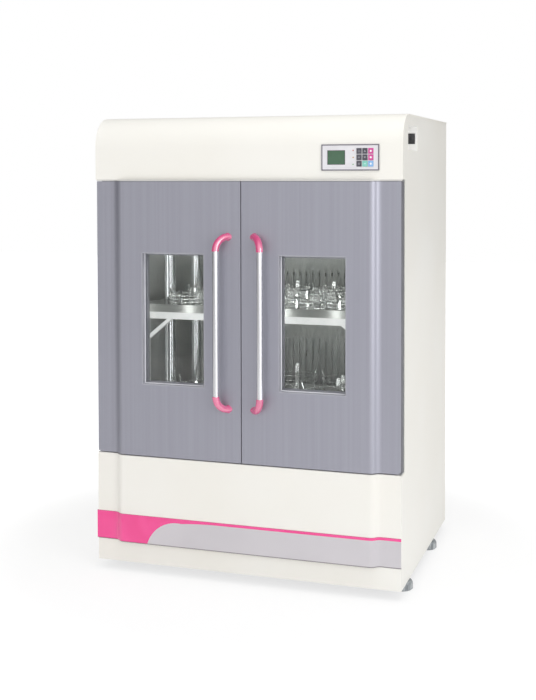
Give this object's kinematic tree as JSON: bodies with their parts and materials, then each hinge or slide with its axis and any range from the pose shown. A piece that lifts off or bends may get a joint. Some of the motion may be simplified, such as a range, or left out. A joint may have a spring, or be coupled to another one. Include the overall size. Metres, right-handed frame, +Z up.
{
  "type": "incubated shaker",
  "caption": "Floor-standing incubated shaker: a cabinet with hinged glazed doors, an orbiting platform with decks, trays and flask clamps, and a keypad on its head.",
  "frame": {"origin": "middle of the bounding box at floor level", "axes": "+Z up, -Y towards the doors, +X to the right seen from the front"},
  "size_m": [1.106, 0.913, 1.58],
  "materials": {
    "cabinet_enamel": "satin",
    "base_enamel": "matte",
    "foot_plastic": "matte",
    "door_enamel": "satin",
    "accent_plastic": "gloss",
    "band_film": "satin",
    "stainless": "satin",
    "handle_aluminium": "satin",
    "post_chrome": "polished",
    "frame_enamel": "satin",
    "frame_trim": "satin",
    "glass": "gloss",
    "seal_rubber": "matte",
    "platform_aluminium": "satin",
    "drive_steel": "satin",
    "drive_iron": "matte",
    "stand_enamel": "matte",
    "motor_enamel": "satin",
    "belt_rubber": "matte",
    "panel_face": "satin",
    "display_glass": "gloss",
    "board_laminate": "satin",
    "key_dark": "satin",
    "key_magenta": "satin",
    "key_mint": "satin",
    "key_blue": "satin",
    "housing_plastic": "satin",
    "switch_plastic": "satin"
  },
  "bodies": {
    "cabinet": {"base_pan": "base_enamel", "levelling_feet": "foot_plastic", "plinth_panel": "cabinet_enamel", "lower_front_panel": "cabinet_enamel", "accent_trim": "accent_plastic", "decor_band": "band_film", "side_panel_left": "cabinet_enamel", "side_panel_right": "cabinet_enamel", "back_panel": "cabinet_enamel", "head_cover": "cabinet_enamel", "chamber_liner": "stainless", "panel_plate": "panel_face", "lcd_display": "display_glass", "control_board": "board_laminate", "switch_housing": "housing_plastic", "power_inlet": "switch_plastic", "hinge_brackets": "drive_steel", "drive_stand": "stand_enamel", "drive_motor": "motor_enamel", "drive_belt": "belt_rubber", "crank_bearings": "drive_iron", "air_duct_panel": "stainless", "fan_motor": "motor_enamel", "heater_element": "stainless", "temperature_probe": "stainless"},
    "door_left": {"door_skin_left": "door_enamel", "door_inner_panel_left": "frame_enamel", "window_frame_left": "frame_trim", "window_glass_left": "glass", "door_gasket_left": "seal_rubber", "handle_tube_left": "handle_aluminium", "handle_ends_left": "accent_plastic"},
    "door_right": {"door_skin_right": "door_enamel", "door_inner_panel_right": "frame_enamel", "window_frame_right": "frame_trim", "window_glass_right": "glass", "door_gasket_right": "seal_rubber", "handle_tube_right": "handle_aluminium", "handle_ends_right": "accent_plastic"},
    "key_1": {"key_1": "key_dark"},
    "key_2": {"key_2": "key_dark"},
    "key_3": {"key_3": "key_magenta"},
    "key_4": {"key_4": "key_dark"},
    "key_5": {"key_5": "key_dark"},
    "key_6": {"key_6": "key_magenta"},
    "key_7": {"key_7": "key_dark"},
    "key_8": {"key_8": "key_mint"},
    "key_9": {"key_9": "key_blue"},
    "power_switch": {"switch_rocker": "switch_plastic"},
    "motor_rotor": {"motor_pulley": "drive_iron"},
    "main_crank": {"drive_crank": "drive_steel", "drive_pulley": "drive_iron"},
    "idler_left": {"idler_crank_left": "drive_steel"},
    "idler_right": {"idler_crank_right": "drive_steel"},
    "platform": {"platform_frame": "platform_aluminium", "deck_trays": "stainless", "deck_posts": "post_chrome", "upper_deck_frame": "frame_enamel", "flask_clamps": "stainless"},
    "fan": {"fan_impeller": "platform_aluminium"}
  },
  "joints": [
    {"name": "door_left_hinge", "type": "hinge", "parent": "cabinet", "child": "door_left", "pos_m": [-0.524, -0.3685, 0.887], "axis": [0, 0, -1], "range_deg": [0, 110]},
    {"name": "door_right_hinge", "type": "hinge", "parent": "cabinet", "child": "door_right", "pos_m": [0.524, -0.3685, 0.887], "axis": [0, 0, 1], "range_deg": [0, 110]},
    {"name": "key_1_press", "type": "slide", "parent": "cabinet", "child": "key_1", "axis": [0, 1, 0], "range_m": [0, 0.0012], "stiffness_N_per_m": 900},
    {"name": "key_2_press", "type": "slide", "parent": "cabinet", "child": "key_2", "axis": [0, 1, 0], "range_m": [0, 0.0012], "stiffness_N_per_m": 900},
    {"name": "key_3_press", "type": "slide", "parent": "cabinet", "child": "key_3", "axis": [0, 1, 0], "range_m": [0, 0.0012], "stiffness_N_per_m": 900},
    {"name": "key_4_press", "type": "slide", "parent": "cabinet", "child": "key_4", "axis": [0, 1, 0], "range_m": [0, 0.0012], "stiffness_N_per_m": 900},
    {"name": "key_5_press", "type": "slide", "parent": "cabinet", "child": "key_5", "axis": [0, 1, 0], "range_m": [0, 0.0012], "stiffness_N_per_m": 900},
    {"name": "key_6_press", "type": "slide", "parent": "cabinet", "child": "key_6", "axis": [0, 1, 0], "range_m": [0, 0.0012], "stiffness_N_per_m": 900},
    {"name": "key_7_press", "type": "slide", "parent": "cabinet", "child": "key_7", "axis": [0, 1, 0], "range_m": [0, 0.0012], "stiffness_N_per_m": 900},
    {"name": "key_8_press", "type": "slide", "parent": "cabinet", "child": "key_8", "axis": [0, 1, 0], "range_m": [0, 0.0012], "stiffness_N_per_m": 900},
    {"name": "key_9_press", "type": "slide", "parent": "cabinet", "child": "key_9", "axis": [0, 1, 0], "range_m": [0, 0.0012], "stiffness_N_per_m": 900},
    {"name": "power_switch_rock", "type": "hinge", "parent": "cabinet", "child": "power_switch", "pos_m": [0.518, -0.1205, 1.503], "axis": [-1, 0, 0], "range_deg": [0, 16]},
    {"name": "crank_spin", "type": "hinge", "parent": "cabinet", "child": "main_crank", "pos_m": [0, -0.0035, 0.488], "axis": [0, 0, 1], "continuous": true},
    {"name": "motor_spin", "type": "hinge", "parent": "cabinet", "child": "motor_rotor", "pos_m": [-0.235, 0.1615, 0.358], "axis": [0, 0, 1], "continuous": true},
    {"name": "idler_left_spin", "type": "hinge", "parent": "cabinet", "child": "idler_left", "pos_m": [-0.27, -0.1535, 0.488], "axis": [0, 0, 1], "continuous": true},
    {"name": "idler_right_spin", "type": "hinge", "parent": "cabinet", "child": "idler_right", "pos_m": [0.27, -0.1535, 0.488], "axis": [0, 0, 1], "continuous": true},
    {"name": "platform_orbit", "type": "hinge", "parent": "main_crank", "child": "platform", "pos_m": [0, 0.0095, 0.4883], "axis": [0, 0, 1], "continuous": true},
    {"name": "fan_spin", "type": "hinge", "parent": "cabinet", "child": "fan", "pos_m": [0, 0.3705, 1.204], "axis": [0, 1, 0], "continuous": true}
  ],
  "couplings": [
    {"joint": "motor_spin", "follows": "crank_spin", "ratio": 2.8947},
    {"joint": "idler_left_spin", "follows": "crank_spin", "ratio": 1},
    {"joint": "idler_right_spin", "follows": "crank_spin", "ratio": 1},
    {"joint": "platform_orbit", "follows": "crank_spin", "ratio": -1}
  ]
}
